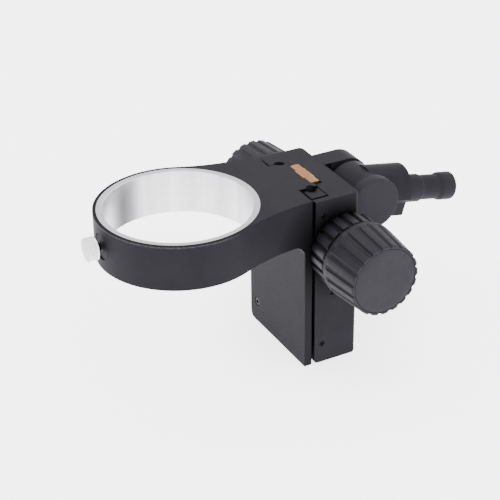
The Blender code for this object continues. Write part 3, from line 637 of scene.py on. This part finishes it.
cut(housing, prism(
    arc(STOP_Z - FOCUS_DOWN - GAP, STOP_X, 1.9, 270, 90, 12) + arc(STOP_Z + FOCUS_UP + GAP, STOP_X, 1.9, 90, -90, 12),
    HOUSING_FRONT - 1, HOUSING_FRONT + 2.8, axis="Y"))
cut(housing, lathe([(0, LUG_X1 + 3), (4.3, LUG_X1 + 3), (4.3, -20.4), (7.0, -20.4), (7.0, LUG_X0 - 3), (0, LUG_X0 - 3)], 48,
                   origin=(0, HINGE_Y, HINGE_Z), axis="X"))
for y, z, x_in in ((GROOVE_Y - 0.3, 88.2, GIB_X1 - 1), (GROOVE_Y - 0.3, 11.5, GIB_X1 - 1), (-6.5, 41.8, 26.0)):
    cut(housing, lathe([(0, W + 3), (1.6, W + 3), (1.6, x_in), (0, x_in)], 24, origin=(0, y, z), axis="X"))
cut(housing, lathe([(0, HOUSING_H + 2), (3.3, HOUSING_H + 2), (3.3, 90.0), (0, 90.0)], 32, origin=(-CHANNEL_X - 0.9, GROOVE_Y + 0.1, 0), axis="Z"))
edges_soft(housing, 0.4)
piece("housing_casting", housing, "housing", "housing", "rack_housing")

gib = [(CHANNEL_X, HOUSING_FRONT + 0.35), *groove(CHANNEL_X, 1), (CHANNEL_X, CHANNEL_FLOOR - GAP), (GIB_X1 - 0.4, CHANNEL_FLOOR - GAP), (GIB_X1 - 0.4, HOUSING_FRONT + 0.35)]
piece("gib_strip", edges_soft(prism(gib, 0.6, HOUSING_H, axis="Z"), 0.25), "housing", "gib", "gib_bar")

# --------------------------------------------------------------- head arm

half = W + 0.05
rise = sqrt((RING_R + ARM_SIDE_R) ** 2 - (half + ARM_SIDE_R) ** 2)
cx, cy = half + ARM_SIDE_R, RING_Y + rise
touch = atan2(cy - RING_Y, cx)
flank = arc(cx, cy, ARM_SIDE_R, 180.0, 180 + degrees(touch), 30)
flank = [(half, PLATE_REAR)] + [p for p in flank if p[1] < PLATE_REAR - 0.2]
front = arc(0, RING_Y, RING_R, degrees(touch), -180 - degrees(touch), 120)
arm_plan = flank + front[1:-1] + [(-x, y) for x, y in reversed(flank)]
fillet = 6.5
ell = (
    [(PLATE_REAR, CARRIAGE_Z0), (PLATE_REAR, CARRIAGE_Z1), (RING_Y - 60, CARRIAGE_Z1), (RING_Y - 60, ARM_Z0)]
    + arc(PLATE_FRONT - fillet, ARM_Z0 - fillet, fillet, 90, 0, 16)
    + [(PLATE_FRONT, CARRIAGE_Z0)]
)
arm = prism(ell, -W - 30, W + 30, axis="X")
combine(arm, "INTERSECT", prism(arm_plan, CARRIAGE_Z0 - 5, CARRIAGE_Z1 + 5, axis="Z"))
corner = [(-W - 4, CARRIAGE_Z0 - 4), (-W + 3.5, CARRIAGE_Z0 - 4)] + arc(-half + 3.5, CARRIAGE_Z0 + 3.5, 3.5, 270, 180, 12) + [(-W - 4, CARRIAGE_Z0 + 3.5)]
cut(arm, prism([(z, x) for x, z in corner], PLATE_FRONT - 3, PLATE_REAR + 3, axis="Y"))
tongue = [(TONGUE_X, PLATE_REAR - 0.8), *groove(TONGUE_X, -1), (TONGUE_X, TONGUE_BACK), (11.35, TONGUE_BACK), (11.35, -9.1), (4.8, -9.1), (4.8, -9.8)]
join(arm, prism(tongue + [(-x, y) for x, y in reversed(tongue)], CARRIAGE_Z0, CARRIAGE_Z1, axis="Z"))
cut(arm, lathe(
    [(0, CARRIAGE_Z1 + 2), (BORE_R + 2.5, CARRIAGE_Z1 + 2), (BORE_R, CARRIAGE_Z1 - 0.5), (BORE_R, ARM_Z0 + 0.6),
     (BORE_R + 1.6, ARM_Z0 - 1), (0, ARM_Z0 - 1)], 160, origin=(0, RING_Y, 0)))
cut(arm, lathe(
    [(0, RING_Y - BORE_R + 5), (2.7, RING_Y - BORE_R + 5), (2.7, RING_Y - RING_R + 0.7), (7.0, RING_Y - RING_R + 0.7),
     (7.0, RING_Y - RING_R - 5), (0, RING_Y - RING_R - 5)], 48, origin=(0, 0, CLAMP_Z), axis="Y"))
cut(arm, lathe([(0, PLATE_REAR + 2), (2.6, PLATE_REAR + 2), (2.6, PLATE_FRONT - 2), (0, PLATE_FRONT - 2)], 36,
               origin=(STOP_X, 0, STOP_Z), axis="Y"))
for x, z in ((-8.4, 26.0), (8.4, 26.0), (-8.4, 86.0), (8.4, 86.0)):
    cut(arm, lathe([(0, -5.0), (1.55, -5.0), (1.55, -14.4), (0, -14.4)], 20, origin=(x, 0, z), axis="Y"))
cut(arm, prism([(-W - 3, PLATE_REAR - 0.65), (-W - 3, PLATE_REAR + 0.2), (-CHANNEL_X - 0.1, PLATE_REAR + 0.2), (-CHANNEL_X - 0.1, PLATE_REAR - 0.65)],
               CARRIAGE_Z1 - 2.2, CARRIAGE_Z1 + 2, axis="Z"))
cut(arm, lathe([(0, CARRIAGE_Z1 + 2), (3.3, CARRIAGE_Z1 + 2), (3.3, 90.0), (0, 90.0)], 32, origin=(-CHANNEL_X - 0.9, GROOVE_Y - 0.2, 0), axis="Z"))
edges_soft(arm, 0.45)
piece("ring_arm_casting", arm, "carriage", "arm", "head_ring_arm")

# ------------------------------------------------------- knobs and collars

def flute(angle):
    """1 in the middle of a groove, 0 on a rib, with a flat bottom and rounded lips."""
    t = ((angle - FLUTE_PHASE) / (2 * pi) * FLUTES + 0.5) % 1.0 - 0.5
    q = abs(t)
    wall = min(1.0, max(0.0, (0.245 - q) / 0.125))
    return wall * wall * (3 - 2 * wall)


def rib_fall(angle):
    """The ribs are slightly round between two grooves."""
    t = ((angle - FLUTE_PHASE) / (2 * pi) * FLUTES) % 1.0
    return (2 * (t - 0.5)) ** 2


def knob_shape(angle, height, radius):
    h = abs(height)
    if radius < 18.1 or h < KNOB_X0 + 3.4:
        return radius
    run = min(1.0, (h - KNOB_X0 - 3.4) / 1.5)
    run = sqrt(max(0.0, 1 - (1 - run) ** 2))
    limit = KNOB_R0 + (KNOB_R1 - KNOB_R0) * max(0.0, (h - KNOB_X0 - 4.5) / (KNOB_X1 - KNOB_X0 - 4.5))
    floor_r = limit - 0.95 * run * flute(angle) - 0.22 * run * rib_fall(angle)
    return min(radius, floor_r)


knob = soft([
    (17.75, 66.9), (17.75, KNOB_X1, 0.2), (KNOB_R1, KNOB_X1, 0.55), (KNOB_R0, KNOB_X0 + 4.5, 3.0), (KNOB_R0, KNOB_X0 + 0.75, 0.3),
    (19.9, KNOB_X0 + 0.75, 0.1), (19.9, KNOB_X0, 0.2), (18.4, KNOB_X0, 0.3),
    (17.4, 60.5, 0.5), (7.2, 60.5, 0.4), (7.2, KNOB_X0, 0.3), (SHAFT_R + GAP, KNOB_X0, 0.2), (SHAFT_R + GAP, 58.2), (1.8, 58.2), (1.8, 62.0),
    (6.0, 62.0), (6.0, 66.9),
], steps=4)
for label, mirror in (("right", False), ("left", True)):
    shell = lathe(refine(knob, 0.75, ring=True), FLUTES * 26, origin=(0, 0, PINION_Z), axis="X", shape=knob_shape, ring=True, mirror=mirror)
    piece("knob_shell_" + label, smooth(shell, 42), "focus_shaft", "plastic", "focus_knob_" + label)
    cap = soft([(0, KNOB_X1 + 0.06), (8, KNOB_X1 + 0.05), (14, KNOB_X1), (17.6, KNOB_X1 - 0.05, 0.25), (17.6, 67.5), (0, 67.5)], closed=False, steps=4)
    piece("knob_face_" + label, smooth(lathe(cap, 128, origin=(0, 0, PINION_Z), axis="X", mirror=mirror), 42), "focus_shaft", "plastic",
          "knob_cap_" + label)


def collar_shape(angle, height, radius):
    if radius < COLLAR_R - 1.6:
        return radius
    return min(radius, COLLAR_R - 1.3 * flute(angle) - 0.3 * rib_fall(angle))


collar = soft([
    (6.8, 42.6, 0.2), (COLLAR_R, 42.6, 0.9), (COLLAR_R, W + 0.5, 0.8), (8.9, W + 0.5, 0.2), (8.9, 33.2, 0.2), (6.8, 33.2),
], steps=4)
piece("tension_ring", smooth(lathe(refine(collar, 0.9, ring=True), FLUTES * 26, origin=(0, 0, PINION_Z), axis="X", shape=collar_shape, ring=True), 42),
      "tension_collar", "collar", "tension_collar")
piece("spacer_ring", smooth(lathe(refine(collar, 0.9, ring=True), 160, origin=(0, 0, PINION_Z), axis="X", ring=True, mirror=True), 42),
      "housing", "plastic", "spacer_collar")

# --------------------------------------------------------------- tilt joint

hinge = (0, HINGE_Y, HINGE_Z)
bolt = lathe(soft([(0, 14.9), (3.4, 14.9), (4.0, 14.3), (4.0, -20.8), (6.5, -20.8, 0.2), (6.5, -27.5, 0.5), (0, -27.5)], closed=False), 64, origin=hinge, axis="X")
cut(bolt, prism(hexagon(6.0), -30, -24.4, origin=hinge, axis="X"))
piece("tilt_bolt_head", smooth(bolt), "housing", "dark_steel", "tilt_bolt")
disc = soft([(0, 16.45), (DISC_R - 2.0, 16.5), (DISC_R, 16.5, 0.55), (DISC_R, 10.5, 0.4), (4.3, 10.5, 0.2), (4.3, 15.2), (0, 15.2)], closed=False)
piece("tilt_cap", smooth(lathe(disc, 144, origin=hinge, axis="X")), "housing", "cap", "tilt_disc")
washer = soft([(4.3, -11.3, 0.1), (12.7, -11.3, 0.2), (12.7, -12.0, 0.2), (4.3, -12.0, 0.1)])
piece("fibre_washer", smooth(lathe(washer, 96, origin=hinge, axis="X", ring=True)), "housing", "fibre", "tilt_washer")

c, s = cos(PIN_PITCH), sin(PIN_PITCH)
UP, ALONG = (0, s, c), (0, c, -s)
PIN_FRAME = ((1, 0, 0), (0, -s, -c))
UP_FRAME = ((1, 0, 0), ALONG)
knuckle = lathe([(0, 10.2), (KNUCKLE_R, 10.2), (KNUCKLE_R, KNUCKLE_X0), (0, KNUCKLE_X0)], 128, origin=hinge, axis="X")
neck = [(x, -n) for x, n in (
    [(-8.2, -12.0), (-8.9, -11.3), (-9.8, -4.0)] + [(13.5 * p, 14.6 * q) for p, q in arc(0, 0, 1, 182, -2, 60)] + [(9.8, -4.0), (8.9, -11.3), (8.2, -12.0)]
)]
block = prism(neck, 0.5, 25.0, origin=hinge, frame_of=PIN_FRAME)
join(knuckle, block)
cut(
    knuckle,
    lathe([(0, 20.0), (DISC_R + 0.5, 20.0), (DISC_R + 0.5, 10.15), (0, 10.15)], 128, origin=hinge, axis="X"),
    lathe([(0, KNUCKLE_X0 - 0.05), (KNUCKLE_R + 0.3, KNUCKLE_X0 - 0.05), (KNUCKLE_R + 0.3, -20.0), (0, -20.0)], 128, origin=hinge, axis="X"),
    lathe([(0, 14.0), (4.3, 14.0), (4.3, -20.0), (0, -20.0)], 48, origin=hinge, axis="X"),
    lathe([(0, 30.0), (5.3, 30.0), (5.3, 13.6), (0, 13.6)], 48, origin=hinge, frame_of=PIN_FRAME),
)
set_at = tuple(h + 19.0 * a for h, a in zip(hinge, ALONG))
cut(knuckle, lathe([(0, 0.0), (2.6, 0.0), (2.6, -20.0), (0, -20.0)], 28, origin=set_at, frame_of=UP_FRAME))
edges_soft(knuckle, 0.7, segments=4)
piece("knuckle_casting", knuckle, "tilt", "knuckle", "tilt_knuckle")

pin = soft([
    (0, 59.8), (7.75, 59.8, 1.1), (7.75, 52.0, 0.5), (7.6, 51.2, 0.3), (6.85, 49.4, 0.9), (6.85, 38.2, 0.8), (7.65, 37.3, 0.4), (7.65, 25.3, 0.4),
    (5.0, 25.3, 0.2), (5.0, 14.0), (0, 14.0),
], closed=False, steps=5)
piece("pin", smooth(lathe(pin, 96, origin=hinge, frame_of=PIN_FRAME)), "tilt", "pin", "mount_pin")

# --------------------------------------------------------------- thumbscrew

def knurl(angle, height, radius):
    """Crossing diagonal grooves on the head, and a thread on the shank."""
    if radius > 5.0 and HEAD + 0.5 < height < HEAD + 4.8:
        u, v = angle / (2 * pi) * 30, (height - HEAD) / 1.15
        a, b = abs((u + v) % 1.0 - 0.5) * 2, abs((u - v) % 1.0 - 0.5) * 2
        edge = min(1.0, (height - HEAD - 0.5) / 0.4, (HEAD + 4.8 - height) / 0.4)
        return radius - 0.32 * edge * (1 - min(a, b) ** 0.7)
    if 2.2 < radius < 2.6 and height > HEAD + 7.0:
        t = abs((height / 0.8 + angle / (2 * pi)) % 1.0 - 0.5) * 2
        return radius - 0.28 * t
    return radius


clamp_at = (0, 0, CLAMP_Z)
tail = RING_Y - BORE_R - 2.2
screw = soft([(0, tail), (2.0, tail, 0.2), (2.4, tail - 0.4), (2.4, HEAD + 6.4), (3.4, HEAD + 6.4, 0.2), (3.4, HEAD + 5.3), (6.1, HEAD + 5.3, 0.5),
              (6.1, HEAD, 0.5), (0, HEAD)], closed=False)
piece("knurled_screw", smooth(lathe(refine(screw, 0.14), 240, origin=clamp_at, axis="Y", shape=knurl), 60), "clamp_screw", "aluminium", "clamp_thumbscrew")

# ------------------------------------------------ finishes of kept CAD nodes

KEPT = {
    "gib_screw_upper": "dark_steel", "gib_screw_lower": "dark_steel", "lock_screw": "dark_steel", "slide_rod_left": "dark_steel", "slide_rod_right": "dark_steel",
    "bushing_left": "bronze", "bushing_right": "bronze", "friction_washer_left": "fibre", "friction_washer_right": "fibre", "focus_rack": "brass",
    "rack_screw_1": "steel", "rack_screw_2": "steel", "rack_screw_3": "steel", "rack_screw_4": "steel", "stop_screw": "dark_steel", "pinion_shaft": "steel",
    "pinion": "steel", "knob_screw_left": "steel", "knob_screw_right": "steel", "clamp_tip": "nylon", "pin_set_screw": "dark_steel",
}
for name, look in KEPT.items():
    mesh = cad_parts[name].data
    mesh.materials.clear()
    mesh.materials.append(looks[look])
    mesh.polygons.foreach_set("material_index", [0] * len(mesh.polygons))

# -------------------------------------------------------------- floor, light

floor_mesh = bpy.data.meshes.new("floor")
floor_mesh.from_pydata([(-6, -6, 0), (6, -6, 0), (6, 6, 0), (-6, 6, 0)], [], [(0, 1, 2, 3)])
ground = bpy.data.objects.new("floor", floor_mesh)
bpy.context.scene.collection.objects.link(ground)
n = Nodes("floor_white")
ground.data.materials.append(n.out(Base_Color=n.mix(n.noise(2.0, 2), (0.86, 0.865, 0.88), (0.88, 0.88, 0.895)), Roughness=0.9, Metallic=0.0,
                                   Emission_Color=(0.98, 0.975, 1.0, 1), Emission_Strength=2.5))

world = bpy.data.worlds.new("studio")
bpy.context.scene.world = world
world.use_nodes = True
world.node_tree.nodes["Background"].inputs["Color"].default_value = (0.965, 0.955, 1.0, 1)
world.node_tree.nodes["Background"].inputs["Strength"].default_value = 2.8


def lamp(name, at, aim, size, power, colour=(1, 1, 1)):
    data = bpy.data.lights.new(name, "AREA")
    data.shape = "RECTANGLE"
    data.size, data.size_y = size
    data.energy = power
    data.color = colour
    obj = bpy.data.objects.new(name, data)
    bpy.context.scene.collection.objects.link(obj)
    obj.matrix_world = Matrix.Translation(at) @ (Vector(aim) - Vector(at)).to_track_quat("-Z", "Y").to_matrix().to_4x4()


centre = (0, -0.03, 0.05)
lamp("above", (-0.1, -0.3, 1.9), centre, (1.3, 1.3), 24)
lamp("right", (1.5, 0.3, 1.0), centre, (0.9, 0.9), 12)
